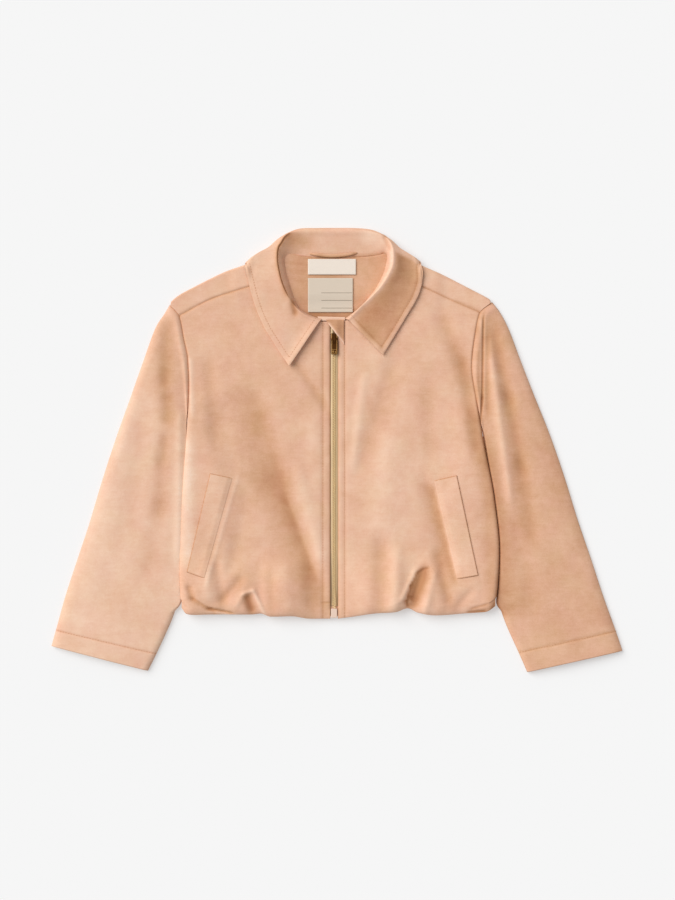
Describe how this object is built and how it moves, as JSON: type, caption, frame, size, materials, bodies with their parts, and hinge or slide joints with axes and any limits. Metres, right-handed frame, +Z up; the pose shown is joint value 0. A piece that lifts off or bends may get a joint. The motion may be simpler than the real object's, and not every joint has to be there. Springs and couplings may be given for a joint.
{
  "type": "zip-front jacket",
  "caption": "Child's cropped jacket in brushed suede-look cloth, laid flat, with a shirt collar, zip front with a swinging pull tab, slanted welt pockets and a soft bubble hem.",
  "frame": {"origin": "on the surface the jacket lies on, under the middle of its overall width and height", "axes": "+X to the wearer's left along the spread sleeves, +Y from the hem up to the collar, +Z up from the surface through the fronts"},
  "size_m": [0.656, 0.51, 0.0175],
  "materials": {
    "suede": "brushed, matt",
    "zip_tape": "woven, matt",
    "size_label": "woven satin",
    "name_label": "woven satin",
    "zip_teeth": "satin",
    "bronze": "dark bronze, satin",
    "moulded_stop": "satin"
  },
  "bodies": {
    "jacket": {"back": "suede", "front_right": "suede", "front_left": "suede", "sleeve_right": "suede", "sleeve_left": "suede", "collar": "suede", "welt_right": "suede", "welt_left": "suede", "zip_garage": "suede", "neck_band": "suede", "hanger_loop": "suede", "size_label": "size_label", "name_label": "name_label", "zip_tape_right": "zip_tape", "zip_tape_left": "zip_tape", "zip_chain": "zip_teeth", "zip_slider": "bronze", "zip_stop": "moulded_stop"},
    "pull_tab": {"pull_tab": "bronze"}
  },
  "joints": [
    {"name": "pull_tab_hinge", "type": "hinge", "parent": "jacket", "child": "pull_tab", "pos_m": [-0.003, 0.1265, 0.0071], "axis": [-1, 0, 0], "range_deg": [0, 120]}
  ]
}
